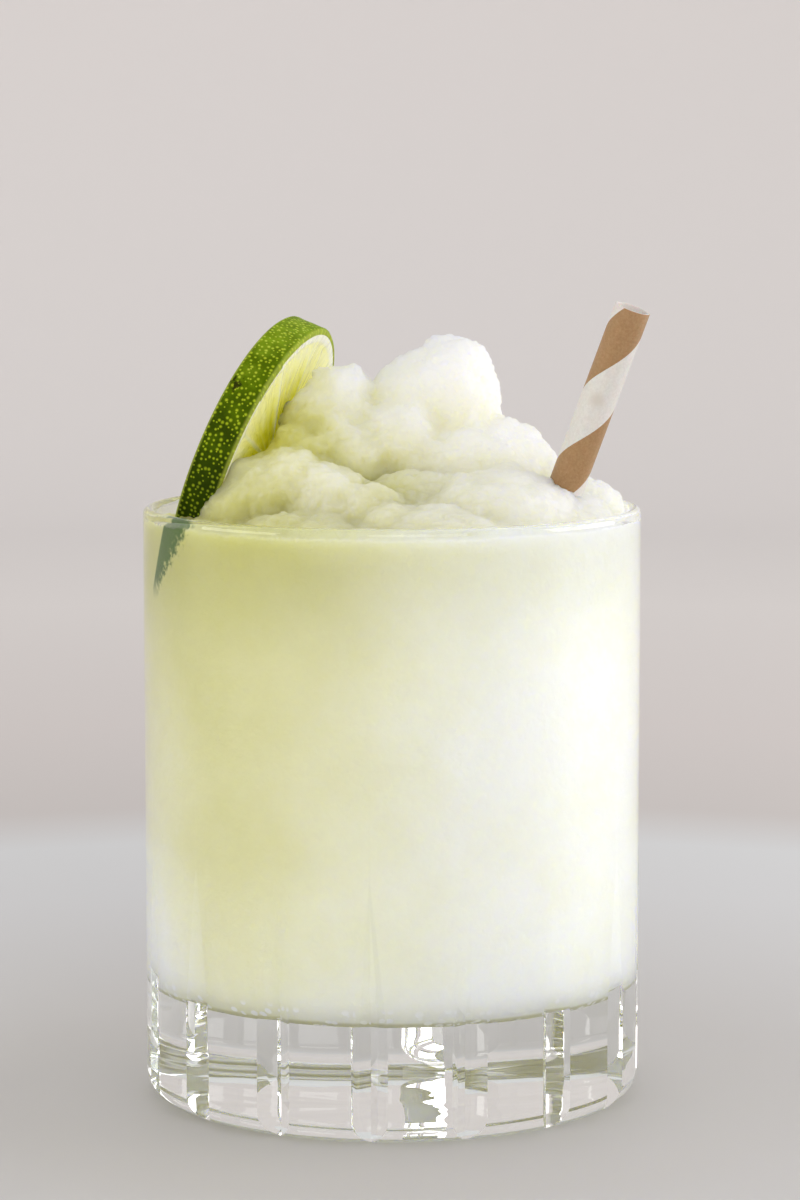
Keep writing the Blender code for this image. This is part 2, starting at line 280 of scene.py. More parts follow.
# frozen drink
slush = {
    # a plug from foot to level under the heap; below cutLevel the wall is drawn down over wallRings
    "level": 98.0, "foot": 74.0, "plugSides": 192, "plugFits": 95, "cutLevel": 84.0,
    "wallRings": (76, 68, 60, 52, 44, 36, 29), "wallReach": 0.15, "sharp": 75,
    "voxel": 0.45, "melt": 64,  # remesh size, then rounds of smoothing
    "lumpWave": (6.5, 1.1),  # size and height of the unevenness of one lump
    "waves": ((7.0, 1.15), (3.4, 0.6), (0.9, 0.28)),  # the same over the whole skin
    "clumps": ((2.3, 0.55), (1.2, 0.36)), "clumpLevel": 0.45,  # rounded grains on top of the waves
    "swell": 0.15, "calmRim": 2.5, "pressed": 0.55,  # no grains close to the wall, where all is pressed flat
    "crumbs": 60, "crumbSize": (0.8, 1.7), "crumbStretch": (0.75, 1.25), "crumbDepth": 0.92,
    "crumbsAbove": 2, "seed": 4,
    # what is heaped up: the middle and half size of each lump
    "lumps": {
        "main heap": ((12.6, 4.0, 98.0), (18.0, 17.0, 15.8)),
        "heap shoulder": ((19.0, 2.0, 101.0), (9.5, 10.0, 11.6)),
        "front slope": ((17.0, -9.0, 95.0), (15.0, 20.0, 11.4)),
        "right slope": ((27.0, -4.0, 94.0), (11.5, 16.0, 7.6)),
        "scoop": ((10.6, 7.0, 117.4), (8.1, 8.2, 9.6)),
        "scoop side": ((3.8, 7.4, 116.6), (7.6, 7.6, 7.6)),
        "scoop foot": ((12.7, 6.8, 113.6), (4.8, 6.4, 6.4)),
        "scoop neck": ((10.2, 6.4, 110.0), (8.6, 9.0, 8.0)),
        "scoop root": ((1.0, 2.2, 108.4), (9.4, 9.0, 8.6)),
        "left heap": ((-6.5, 4.0, 102.0), (12.0, 13.0, 12.6)),
        "lime lump": ((-8.6, 4.0, 115.6), (6.0, 6.6, 6.8)),
        "lime lump side": ((-12.8, 1.6, 113.2), (6.0, 6.0, 5.8)),
        "lime lump foot": ((-10.2, -0.6, 109.6), (7.4, 6.6, 6.6)),
        "lime lump root": ((-15.6, -4.4, 108.0), (5.6, 5.4, 5.6)),
        "middle lump": ((-5.4, -3.0, 107.0), (6.2, 6.0, 5.8)),
        "left saddle": ((-14.0, -4.0, 100.8), (10.0, 10.0, 8.2)),
        "valley floor": ((-1.0, -10.0, 92.0), (20.0, 21.0, 9.8)),
        "front left lump": ((-18.2, -11.4, 101.8), (8.6, 9.0, 8.0)),
        "front left foot": ((-24.2, -11.0, 99.0), (7.6, 8.8, 8.2)),
        "front lump": ((-10.4, -15.4, 100.0), (8.2, 8.4, 7.2)),
        "front lump end": ((-4.2, -18.6, 97.8), (8.0, 7.6, 6.0)),
        "front ridge": ((0.6, -22.4, 95.6), (9.5, 8.0, 6.2)),
        "front ridge end": ((8.0, -26.5, 94.5), (12.0, 8.5, 6.2)),
        "front edge": ((-14.0, -24.0, 94.0), (14.0, 11.0, 6.4)),
        "right peak": ((33.0, 8.5, 96.0), (6.8, 8.0, 6.2)),
        "back left heap": ((-8.0, 18.0, 97.0), (14.0, 14.0, 11.5)),
        "back heap": ((8.0, 21.0, 97.0), (16.0, 14.0, 11.0)),
        "back right heap": ((22.0, 16.0, 97.0), (13.0, 14.0, 10.0)),
        "front valley": ((5.6, -15.0, 96.0), (10.5, 9.0, 7.2)),
        "middle valley": ((3.6, -10.8, 98.6), (12.0, 8.8, 6.8)),
    },
    # where the slush falls away from the wall beside the lime: distance, bearing and height
    "hollowAt": (40.0, 170, 100.0), "hollowHalf": (5.5, 14.0, 7.5), "hollowSeed": 2.0,
    # share of juice by height, as shares of tall, then the colour for each share of juice
    "tall": 140,
    # the share peaks under the rim, from 92 to 97 mm: partly juice, partly painted shade against the light
    # from above
    "wetStops": [(0.14, 0.20), (0.20, 0.27), (0.32, 0.42), (0.50, 0.47), (0.61, 0.62),
                 (0.65, 0.67), (0.69, 0.68), (0.705, 0.66), (0.73, 0.62), (0.75, 0.58),
                 (0.765, 0.52), (0.80, 0.36), (0.842, 0.24), (0.865, 0.19), (0.89, 0.06)],
    "juiceStops": [(0.0, "#f9f9f6"), (0.18, "#f0efda"), (0.36, "#e5e3bc"), (0.54, "#d8d69a"),
                   (0.72, "#cecb7c"), (1.0, "#e6e05a")],
    # painted shade by height, as shares of tall
    "shadeStops": [(0.55, 1.0), (0.68, 0.89), (0.735, 0.91), (0.775, 1.0)],
    # ranges in metres: painted light pales the slush to the right, where the light comes from, and frost
    # whitens the left of the wall, low down partly painted light that comes up through the base
    "litSide": {"From Min": -0.036, "To Min": 1.0, "To Max": 0.06},
    "litReach": {"From Min": 0.080, "From Max": 0.096, "To Min": 0.022, "To Max": 0.033},
    "frostAndLightSide": {"From Min": -0.027, "From Max": -0.040, "To Min": 0.0, "To Max": -0.30},
    "frostAndLightHigh": {"From Min": 0.040, "From Max": 0.090, "To Min": 1.0, "To Max": 0.3},
    # how deep a hollow in the heap has to be for its full painted shade, and how much that is
    "broadRounds": 320, "hollowReach": 1.8, "hollowShade": 0.11,
    # painted shade: yellower slush in the gaps and valleys that lie in shade, and last a lump made paler:
    # place, full and outer reach, how much
    "shadeSpots": [((-17.0, -4.5, 109.0), (3.0, 12.5), 0.42), ((-1.0, -12.0, 104.5), (3.0, 12.0), 0.11),
              ((0.5, -19.0, 102.5), (3.0, 11.0), 0.09), ((-10.0, -21.5, 104.5), (2.5, 9.5), -0.14)],
    # painted shade: the dark line round the bowl's corner, from how far out, and its heights in metres
    "cornerOut": 31.0, "cornerShadeColour": "#b9b582",
    "cornerShadeLine": {"From Min": 0.0191, "From Max": 0.0198, "To Min": 0.6, "To Max": 0.0},
    # painted glints of bubbles: their edge as a share of a cell, their heights in metres, and the cells left
    # without one
    "glintEdge": {"From Min": 0.36, "From Max": 0.48, "To Min": 1.0, "To Max": 0.0},
    "glintLine": {"From Min": 0.0208, "From Max": 0.0222, "To Min": 1.0, "To Max": 0.0},
    "glintless": 0.45, "glintColour": "#fefefc",
    # edges of the peel's strip on the wall, as (height, bearing) at its foot and at its top
    "peelLeft": ((86.6, 197.1), (98.4, 205.5)), "peelRight": ((86.5, 200.2), (98.2, 216.9)),
    # softness of those edges in radians, the height that its foot fades over, and how far out it lies
    "peelSoft": (0.012, 0.07), "peelFoot": (84.5, 89.0), "peelOut": 38.5, "peelColour": "#4b691c",
}


def slushMaterial():
    # crushed ice in lime juice and tonic: white where it is packed, yellow-green where the juice gathers
    s = slush
    material, tree = newMaterial("frozen lime slush")
    coord = addNode(tree, "TexCoord")
    place = addNode(tree, "Mapping", links={"Vector": coord.outputs["Object"]})
    parts = addNode(tree, "SeparateXYZ", links={"Vector": place})
    flat = addNode(tree, "CombineXYZ", links={"X": parts.outputs["X"], "Y": parts.outputs["Y"]})
    radius = addNode(tree, "VectorMath", lengthOf, links={0: flat})
    # how wet the ice is at each height, partly painted shade under the rim, and painted light that pales it
    # to the right, where the light comes from, soonest where it is pressed to the wall
    rise = addNode(tree, "MapRange", inputs={"From Min": 0.0, "From Max": s["tall"] * mm},
                   links={"Value": parts.outputs["Z"]})
    wet = addNode(tree, "ValToRGB", links={"Fac": rise}, stops=s["wetStops"])
    reach = addNode(tree, "MapRange", inputs=s["litReach"], links={"Value": parts.outputs["Z"]})
    litRight = addNode(tree, "MapRange", eased, s["litSide"],
                    {"Value": parts.outputs["X"], "From Max": reach})
    # the wet share, paled to the right by the painted light
    juicy = addNode(tree, "Math", times, links={0: wet, 1: litRight})
    # packed ice and frost whiten the left of the wall, below the lime, most low down, where the whitening is
    # also painted light that comes up through the base
    frostAndLightSide = addNode(tree, "MapRange", eased, s["frostAndLightSide"], {"Value": parts.outputs["X"]})
    frostAndLightHigh = addNode(tree, "MapRange", eased, s["frostAndLightHigh"], {"Value": parts.outputs["Z"]})
    frostAndLight = addNode(tree, "Math", times, links={0: frostAndLightSide, 1: frostAndLightHigh})
    # painted shade: yellower in the hollows of the heap, whiter on the lumps
    hollow = addNode(tree, "Attribute", {"attribute_name": "hollow"})
    hollowShading = addNode(tree, "Math", times, {1: s["hollowShade"]}, {0: hollow.outputs["Fac"]})
    # uneven mixing leaves it wetter or drier in patches of about 18 mm
    clouds = addNode(tree, "TexNoise", inputs={"Scale": 55.0, "Detail": 5.0, "Roughness": 0.6},
                     links={"Vector": place})
    cloudy = addNode(tree, "MapRange", links={"Value": clouds.outputs["Fac"]},
                     inputs={"From Min": 0.3, "From Max": 0.7, "To Min": -0.06, "To Max": 0.06})
    more = [frostAndLight, hollowShading, cloudy]
    # painted shade, spot by spot
    for at, (full, none), share in s["shadeSpots"]:
        near = addNode(tree, "VectorMath", distanceTo, {1: [c * mm for c in at]}, {0: place})
        more.append(addNode(tree, "MapRange", eased, links={"Value": near.outputs["Value"]}, inputs={
            "From Min": full * mm, "From Max": none * mm, "To Min": share, "To Max": 0.0}))
    tone = juicy
    for part in more:
        tone = addNode(tree, "Math", plus, links={0: tone, 1: part})
    shadedJuice = addNode(tree, "ValToRGB", links={"Fac": tone}, stops=s["juiceStops"])
    # painted shade: darker round the rim and over the low heap, against the strong light from above
    shade = addNode(tree, "ValToRGB", links={"Fac": rise}, stops=s["shadeStops"])
    colour = addNode(tree, "VectorMath", {"operation": "SCALE"}, links={0: shadedJuice, "Scale": shade})
    # grains of 0.9 mm and crystals of 1.6 mm, coarser than real crushed ice so that they show
    grain = addNode(tree, "TexNoise", inputs={"Scale": 1100.0, "Detail": 3.0, "Roughness": 0.6},
                    links={"Vector": place})
    crystals = addNode(tree, "TexVoronoi", inputs={"Scale": 620.0}, links={"Vector": place})
    corner = addCornerShadeAndGlints(tree, parts, crystals, radius, colour)
    # the lime's peel lies against the wall here and shows through a thin, frosty layer of slush
    strip = addPeelPatch(tree, parts, radius, grain)
    skin = addNode(tree, "MixRGB", inputs={2: linear(s["peelColour"])}, links={0: strip, 1: corner})
    depth = addNode(tree, "Math", minus, {0: 1.0}, {1: strip})
    relief = addNode(tree, "MixRGB", inputs={0: 0.35},
                     links={1: grain.outputs["Fac"], 2: crystals.outputs["Distance"]})
    bump = addNode(tree, "Bump", inputs={"Strength": 0.55, "Distance": 0.0005}, links={"Height": relief})
    shader = addNode(tree, "BsdfPrincipled", {"subsurface_method": "RANDOM_WALK"}, inputs={
        "Roughness": 0.5, "IOR": 1.31, "Subsurface Scale": 0.014,
        "Subsurface Radius": (1.0, 0.95, 0.5), "Subsurface Anisotropy": 0.2},
        links={"Base Color": skin, "Normal": bump, "Subsurface Weight": depth})
    addNode(tree, "OutputMaterial", links={"Surface": shader})
    return material


# painted shade: a thin dark olive line round the corner of the bowl, for the dark edge that the corner shows
# through the glass; painted glints: white dots for small bubbles caught there
def addCornerShadeAndGlints(tree, parts, crystals, radius, colour):
    # juice darkens the corner of the bowl in a thin line, with small bubbles caught in it
    s = slush
    outer = addNode(tree, "Math", over, {1: s["cornerOut"] * mm}, {0: radius.outputs["Value"]})
    low = addNode(tree, "MapRange", eased, s["cornerShadeLine"], {"Value": parts.outputs["Z"]})
    line = addNode(tree, "Math", times, links={0: low, 1: outer})
    shadedJuice = addNode(tree, "MixRGB", inputs={2: linear(s["cornerShadeColour"])}, links={0: line, 1: colour})
    # a bubble's painted glint takes the middle of a crystal's cell, in about half of the cells
    dots = addNode(tree, "MapRange", eased, s["glintEdge"], {"Value": crystals.outputs["Distance"]})
    pick = addNode(tree, "SeparateColor", links={"Color": crystals.outputs["Color"]})
    some = addNode(tree, "Math", over, {1: s["glintless"]}, {0: pick})
    lowest = addNode(tree, "MapRange", eased, s["glintLine"], {"Value": parts.outputs["Z"]})
    shown = addNode(tree, "Math", times, links={0: dots, 1: some})
    shown = addNode(tree, "Math", times, links={0: shown, 1: lowest})
    return addNode(tree, "MixRGB", inputs={2: linear(s["glintColour"])}, links={0: shown, 1: shadedJuice})


def addPeelPatch(tree, parts, radius, grain):
    # 1 inside a slanted strip on the left of the wall, soft and speckled on its right side
    s = slush
    bearing = addNode(tree, "Math", bearingOf, links={0: parts.outputs["Y"], 1: parts.outputs["X"]})
    height = addNode(tree, "Math", times, {1: 1 / mm}, {0: parts.outputs["Z"]})
    speckle = addNode(tree, "MapRange", links={"Value": grain.outputs["Fac"]},
                      inputs={"From Min": 0.3, "From Max": 0.7, "To Min": -0.05, "To Max": 0.05})
    pastEdges = []
    for (lowZ, lowAngle), (highZ, highAngle) in (s["peelLeft"], s["peelRight"]):
        edge = addNode(tree, "MapRange", links={"Value": height}, inputs={
            "From Min": lowZ, "From Max": highZ,
            "To Min": math.radians(lowAngle - 360), "To Max": math.radians(highAngle - 360)})
        pastEdges.append(addNode(tree, "Math", minus, links={0: bearing, 1: edge}))
    pastEdges[1] = addNode(tree, "Math", plus, links={0: pastEdges[1], 1: speckle})
    leftSoft, rightSoft = s["peelSoft"]
    left = addNode(tree, "MapRange", eased, links={"Value": pastEdges[0]}, inputs={
        "From Min": -leftSoft / 2, "From Max": leftSoft / 2, "To Min": 0.0, "To Max": 1.0})
    right = addNode(tree, "MapRange", eased, links={"Value": pastEdges[1]}, inputs={
        "From Min": -rightSoft / 2, "From Max": rightSoft / 2, "To Min": 1.0, "To Max": 0.0})
    outer = addNode(tree, "Math", over, {1: s["peelOut"] * mm}, {0: radius.outputs["Value"]})
    foot = addNode(tree, "MapRange", eased, links={"Value": height}, inputs={
        "From Min": s["peelFoot"][0], "From Max": s["peelFoot"][1]})
    inside = left
    for mask in (right, outer, foot):
        inside = addNode(tree, "Math", times, links={0: inside, 1: mask})
    return inside


def addLump(bm, centre, half, seed, detail=4):
    # a stretched ball with an uneven skin, each from its own part of the noise
    size, high = slush["lumpWave"]
    offset = Vector((seed * 7.3, seed * 3.1, seed * 5.7))
    for v in bmesh.ops.create_icosphere(bm, subdivisions=detail, radius=1.0)["verts"]:
        out = v.co.normalized()
        v.co = Vector(centre) + Vector(c * h for c, h in zip(out, half))
        v.co += out * high * noise.noise(v.co / size + offset)


def roughen(bm, wall):
    # pushes the skin in and out along its normals, from broad swells to single grains
    s = slush
    bm.normal_update()
    moves = []
    for v in bm.verts:
        share = smoothStep(0.0, s["calmRim"], wall - math.hypot(v.co.x, v.co.y))
        if share <= 0:
            moves.append(None)
            continue
        push = s["swell"] + sum(high * noise.noise(v.co / size + Vector((size, 0, 3 * size)))
                                for size, high in s["waves"])
        for size, high in s["clumps"]:
            near = noise.voronoi(v.co / size + Vector((0, size, 0)))[0][0]
            push += high * (s["clumpLevel"] - near)
        moves.append(v.normal * push * share)
    for v, move in zip(bm.verts, moves):
        if move:
            v.co += move


def markHollows(piece, rounds, reach):
    # how far each point lies under the broad form of the heap: 1 in a hollow, -1 on a lump
    broad = piece.modifiers.new("broad form", "SMOOTH")
    broad.factor = 0.5
    broad.iterations = rounds
    graph = bpy.context.evaluated_depsgraph_get()
    far = [v.co.copy() for v in piece.evaluated_get(graph).data.vertices]
    piece.modifiers.clear()
    marks = piece.data.attributes.new("hollow", "FLOAT", "POINT")
    for v, other, mark in zip(piece.data.vertices, far, marks.data):
        mark.value = max(-1.0, min(1.0, (other - v.co).dot(v.normal) / reach))


def heapUp(bm, wall):
    # the lumps, then small pieces of ice lying on their upper sides
    s = slush
    lumps = list(s["lumps"].values())
    for centre, half in lumps:
        addLump(bm, centre, half, random.uniform(0, 10))
    for i in range(s["crumbs"]):
        centre, half = random.choice(lumps)
        out = Vector((random.gauss(0, 1), random.gauss(0, 1), abs(random.gauss(0, 1)) + 0.2)).normalized()
        at = Vector(centre) + Vector(c * h for c, h in zip(out, half)) * s["crumbDepth"]
        size = random.uniform(*s["crumbSize"])
        if at.z > s["level"] + s["crumbsAbove"] and math.hypot(at.x, at.y) + size < wall:
            addLump(bm, at, [size * random.uniform(*s["crumbStretch"]) for axis in "xyz"], i, detail=2)


def pressToWall(bm):
    # what lies against the wall is pressed to it, up to where the heap leaves it
    s = slush
    for v in bm.verts:
        radius = math.hypot(v.co.x, v.co.y)
        target = bowlRadius(v.co.z) + s["wallReach"]
        if radius > target - s["pressed"]:
            v.co.x *= target / radius
            v.co.y *= target / radius


def drawDown(bm):
    # the open lower edge is drawn down the wall, round the corner and over the floor
    s = slush
    edges = [e for e in bm.edges if e.is_boundary]
    profile = bowlProfile(s["wallReach"], s["cutLevel"])[::-1]
    stops = [(bowlRadius(z) + s["wallReach"], z) for z in s["wallRings"]] + profile[1:-1]
    for radius, height in stops:
        made = bmesh.ops.extrude_edge_only(bm, edges=edges)["geom"]
        for v in [g for g in made if isinstance(g, bmesh.types.BMVert)]:
            scale = radius / math.hypot(v.co.x, v.co.y)
            v.co = (v.co.x * scale, v.co.y * scale, height)
        edges = [g for g in made if isinstance(g, bmesh.types.BMEdge)]
    bmesh.ops.contextual_create(bm, geom=edges)
    bmesh.ops.recalc_face_normals(bm, faces=bm.faces)


def buildSlush():
    s = slush
    random.seed(s["seed"])
    wall = bowlRadius(s["plugFits"]) + s["wallReach"]
    # a short plug with the hollow taken out of it
    plug = bmesh.new()
    bmesh.ops.create_cone(plug, cap_ends=True, segments=s["plugSides"], radius1=wall, radius2=wall,
                          depth=s["level"] - s["foot"],
                          matrix=Matrix.Translation((0, 0, (s["level"] + s["foot"]) / 2)))
    piece = makePiece("slush", plug, [slushMaterial()])
    hollow = bmesh.new()
    addLump(hollow, (0, 0, 0), s["hollowHalf"], s["hollowSeed"])
    distance, bearing, height = s["hollowAt"]
    turn = Matrix.Rotation(math.radians(bearing), 4, "Z")
    cutAway(piece, hollow, turn @ Matrix.Translation((distance, 0, height)))
    # the lumps heaped on it, melted into one skin
    bm = editMesh(piece)
    heapUp(bm, wall)
    keepMesh(piece, bm)
    skin = piece.modifiers.new("one skin", "REMESH")
    skin.mode = "VOXEL"
    skin.voxel_size = s["voxel"] * mm
    melt = piece.modifiers.new("melted edges", "SMOOTH")
    melt.factor = 0.5
    melt.iterations = s["melt"]
    bakeModifiers(piece)
    markHollows(piece, s["broadRounds"], s["hollowReach"] * mm)
    # grains over the heap, and the fill below it
    bm = editMesh(piece)
    bmesh.ops.bisect_plane(bm, geom=bm.verts[:] + bm.edges[:] + bm.faces[:], dist=0.0001,
                           plane_co=(0, 0, s["cutLevel"]), plane_no=(0, 0, 1), clear_inner=True)
    roughen(bm, wall)
    pressToWall(bm)
    drawDown(bm)
    keepMesh(piece, bm)
    piece.data.shade_smooth()
    piece.data.set_sharp_from_angle(angle=math.radians(s["sharp"]))
    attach(piece, "root")
    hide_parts("frozen_drink")
    print("slush made:", len(piece.data.polygons), "faces")


buildSlush()

# lime wheel
lime = {
    "radius": 24.2, "thick": 6.0, "centre": (-23.3, 7.0, 106.8), "tip": 112, "turn": -16, "sharp": 60,
    "steps": 240, "ringGap": 0.45, "peelRows": 14, "peelProud": 0.12,
    "edge": 0.5, "edgeTurns": (0.5, 1.0, 1.45),  # rounding of the rim, and its points in radians
    "segments": 10, "peel": 1.0, "pith": 2.3, "core": 1.6, "sink": 0.35,
    "lobes": (0.008, 0.004),  # how far from round it is, as shares of its radius
    "sacTurns": 14, "sacLong": 0.3, "sacHigh": 0.16,  # relief of the juice sacs in the flesh
    # their cells in colour and bump: 19 to a radian, about 1 mm across, and 4.5 mm long
    "sacCells": (19.0, 0.22), "sacSway": (1.8, 1.2, 0.0),
    "pores": (1.1, 0.05), "dents": (7.0, 0.18),  # size and height of the unevenness of the peel
    # colours of the peel from its foot to its top, between these heights in metres: painted light and shade,
    # darker at the foot and paler at the top
    "skinStops": [(0.0, "#1c2800"), (0.42, "#344600"), (0.72, "#536b00"), (1.0, "#829d18")],
    "glandStops": [(0.0, "#66761a"), (0.42, "#a0b31c"), (0.72, "#b4c62c"), (1.0, "#c4d54e")],
    "litHeights": {"From Min": 0.096, "From Max": 0.132},
    "glandSizes": {"To Min": 0.22, "To Max": 0.5},
    "cutEdge": "#b9c552", "cutEdgeFrom": 0.6, "cutEdgeTo": 0.1,  # distances from the cut face
    "scarColour": "#2a2b08",
    "scarAt": (-52.6, -1.7), "scarTorn": 4.5,  # place round and across the peel, raggedness
    "scarEdge": {"From Min": 2.7, "From Max": 3.3, "To Min": 0.9, "To Max": 0.0},
    # the cut face, from the middle of a sac outwards, then what surrounds the sacs
    "sacStops": [(0.05, "#ece634"), (0.45, "#f4ef58"), (0.85, "#f9f69a")],
    "outerFlesh": "#fbf9dc", "membrane": "#edefc0", "pithColour": "#f4f6df", "paleFrom": 10.5,
    "pithBlend": (0.3, 0.4),  # how far the pith fades into the flesh and the flesh into the pith
    "membraneEdge": {"From Min": 0.18, "From Max": 0.75, "To Min": 1.0, "To Max": 0.0},
}


def peelMaterial():
    # lime zest: waxy green, crowded with pale oil glands, with painted shade that darkens it towards the
    # foot of the wheel
    t = lime
    material, tree = newMaterial("lime peel")
    coord = addNode(tree, "Attribute", {"attribute_name": "sliceCoord"})
    parts = addNode(tree, "SeparateXYZ", links={"Vector": coord.outputs["Vector"]})
    angle = addNode(tree, "Math", bearingOf, links={0: parts.outputs["Y"], 1: parts.outputs["X"]})
    around = addNode(tree, "Math", times, {1: t["radius"]}, {0: angle})
    unrolled = addNode(tree, "CombineXYZ", links={"X": around, "Y": parts.outputs["Z"]})
    # glands 0.9 mm apart, each of its own size
    glands = addNode(tree, "TexVoronoi", {"voronoi_dimensions": "2D"},
                     {"Scale": 1.12, "Randomness": 0.8}, {"Vector": unrolled})
    size = addNode(tree, "SeparateColor", links={"Color": glands.outputs["Color"]})
    spread = addNode(tree, "MapRange", inputs=t["glandSizes"], links={"Value": size})
    dots = addNode(tree, "MapRange", eased, {"From Min": 0.02, "To Min": 1.0, "To Max": 0.0},
                   {"Value": glands.outputs["Distance"], "From Max": spread})
    # painted light and shade: paler towards the top and darker towards the foot, and patchy all over in
    # spots of 3 mm
    objectCoord = addNode(tree, "TexCoord")
    high = addNode(tree, "SeparateXYZ", links={"Vector": objectCoord.outputs["Object"]})
    rise = addNode(tree, "MapRange", inputs=t["litHeights"], links={"Value": high.outputs["Z"]})
    patches = addNode(tree, "TexNoise", inputs={"Scale": 0.35, "Detail": 4.0},
                      links={"Vector": coord.outputs["Vector"]})
    patchy = addNode(tree, "MapRange", links={"Value": patches.outputs["Fac"]},
                     inputs={"From Min": 0.3, "From Max": 0.7, "To Min": -0.14, "To Max": 0.14})
    litAndPatchy = addNode(tree, "Math", plus, links={0: rise, 1: patchy})
    skin = addNode(tree, "ValToRGB", links={"Fac": litAndPatchy}, stops=t["skinStops"])
    gland = addNode(tree, "ValToRGB", links={"Fac": litAndPatchy}, stops=t["glandStops"])
    dotted = addNode(tree, "MixRGB", links={0: dots, 1: skin, 2: gland})
    # a paler rim where the knife went through the zest, partly a painted highlight along that edge
    side = addNode(tree, "Math", {"operation": "ABSOLUTE"}, links={0: parts.outputs["Z"]})
    cut = addNode(tree, "MapRange", eased, links={"Value": side}, inputs={
        "From Min": t["thick"] / 2 - t["cutEdgeFrom"], "From Max": t["thick"] / 2 - t["cutEdgeTo"],
        "To Max": 0.5})
    edged = addNode(tree, "MixRGB", inputs={2: linear(t["cutEdge"])}, links={0: cut, 1: dotted})
    # a dry brown scar on the skin, its outline torn by a grain of 0.6 mm
    scar = addNode(tree, "VectorMath", distanceTo, {1: (*t["scarAt"], 0.0)}, {0: unrolled})
    fine = addNode(tree, "TexNoise", inputs={"Scale": 1.6, "Detail": 5.0},
                   links={"Vector": coord.outputs["Vector"]})
    ragged = addNode(tree, "Math", {"operation": "MULTIPLY_ADD"}, {1: t["scarTorn"]},
                     {0: fine.outputs["Fac"], 2: scar.outputs["Value"]})
    dry = addNode(tree, "MapRange", eased, t["scarEdge"], {"Value": ragged})
    colour = addNode(tree, "MixRGB", inputs={2: linear(t["scarColour"])}, links={0: dry, 1: edged})
    relief = addNode(tree, "MixRGB", inputs={0: 0.3}, links={1: dots, 2: fine.outputs["Fac"]})
    bump = addNode(tree, "Bump", inputs={"Strength": 0.4, "Distance": 0.0003}, links={"Height": relief})
    shader = addNode(tree, "BsdfPrincipled", inputs={
        "Roughness": 0.5, "IOR": 1.45, "Specular IOR Level": 0.04, "Subsurface Weight": 0.1,
        "Subsurface Scale": 0.0008},
        links={"Base Color": colour, "Normal": bump})
    addNode(tree, "OutputMaterial", links={"Surface": shader})
    return material


def cutLimeMaterial():
    # wet cut face: white pith, pale membranes, juice sacs drawn out towards the middle
    t = lime
    material, tree = newMaterial("cut lime flesh")
    coord = addNode(tree, "Attribute", {"attribute_name": "sliceCoord"})
    parts = addNode(tree, "SeparateXYZ", links={"Vector": coord.outputs["Vector"]})
    angle = addNode(tree, "Math", bearingOf, links={0: parts.outputs["Y"], 1: parts.outputs["X"]})
    flat = addNode(tree, "CombineXYZ", links={"X": parts.outputs["X"], "Y": parts.outputs["Y"]})
    radius = addNode(tree, "VectorMath", lengthOf, links={0: flat})
    # distance to the nearest membrane, in millimetres
    share = addNode(tree, "Math", times, {1: t["segments"] / (2 * math.pi)}, {0: angle})
    triangle = addNode(tree, "Math", {"operation": "PINGPONG"}, {1: 0.5}, {0: share})
    apart = addNode(tree, "Math", times, links={0: triangle, 1: radius.outputs["Value"]})
    membrane = addNode(tree, "MapRange", eased, t["membraneEdge"], {"Value": apart})
    fleshEdge = t["radius"] - t["pith"]
    pith = addNode(tree, "MapRange", eased, links={"Value": radius.outputs["Value"]}, inputs={
        "From Min": fleshEdge - t["pithBlend"][0], "From Max": fleshEdge + t["pithBlend"][1]})
    core = addNode(tree, "MapRange", links={"Value": radius.outputs["Value"]}, inputs={
        "From Min": t["core"], "From Max": t["core"] + 1.0, "To Min": 1.0, "To Max": 0.0})
    # sacs: cells drawn out along the radius, swaying a little
    along = addNode(tree, "Math", times, {1: t["sacCells"][1]}, {0: radius.outputs["Value"]})
    around = addNode(tree, "Math", times, {1: t["sacCells"][0]}, {0: angle})
    polar = addNode(tree, "CombineXYZ", links={"X": around, "Y": along, "Z": parts.outputs["Z"]})
    sway = addNode(tree, "TexNoise", inputs={"Scale": 0.4, "Detail": 2.0},
                   links={"Vector": coord.outputs["Vector"]})
    bent = addNode(tree, "VectorMath", {"operation": "MULTIPLY_ADD"}, {1: t["sacSway"]},
                   {0: sway.outputs["Color"], 2: polar})
    sacs = addNode(tree, "TexVoronoi", {"feature": "SMOOTH_F1"}, {"Scale": 1.0}, {"Vector": bent})
    juicy = addNode(tree, "ValToRGB", links={"Fac": sacs.outputs["Distance"]}, stops=t["sacStops"])
    # paler towards the pith and more saturated further in: partly the flesh's own colour, partly painted
    # light and shade
    paleAndLit = addNode(tree, "MapRange", links={"Value": radius.outputs["Value"]}, inputs={
        "From Min": t["paleFrom"], "From Max": fleshEdge, "To Min": 0.0, "To Max": 0.75})
    flesh = addNode(tree, "MixRGB", inputs={2: linear(t["outerFlesh"])}, links={0: paleAndLit, 1: juicy})
    walls = addNode(tree, "Math", {"operation": "MAXIMUM"}, links={0: membrane, 1: core})
    walled = addNode(tree, "MixRGB", inputs={2: linear(t["membrane"])}, links={0: walls, 1: flesh})
    colour = addNode(tree, "MixRGB", inputs={2: linear(t["pithColour"])}, links={0: pith, 1: walled})
    bump = addNode(tree, "Bump", inputs={"Strength": 0.6, "Distance": 0.0004},
                   links={"Height": sacs.outputs["Distance"]})
    shader = addNode(tree, "BsdfPrincipled", inputs={
        "Roughness": 0.22, "IOR": 1.36, "Subsurface Weight": 1.0, "Subsurface Scale": 0.016,
        "Subsurface Radius": (1.0, 1.0, 0.3)},
        links={"Base Color": colour, "Normal": bump})
    addNode(tree, "OutputMaterial", links={"Surface": shader})
    return material


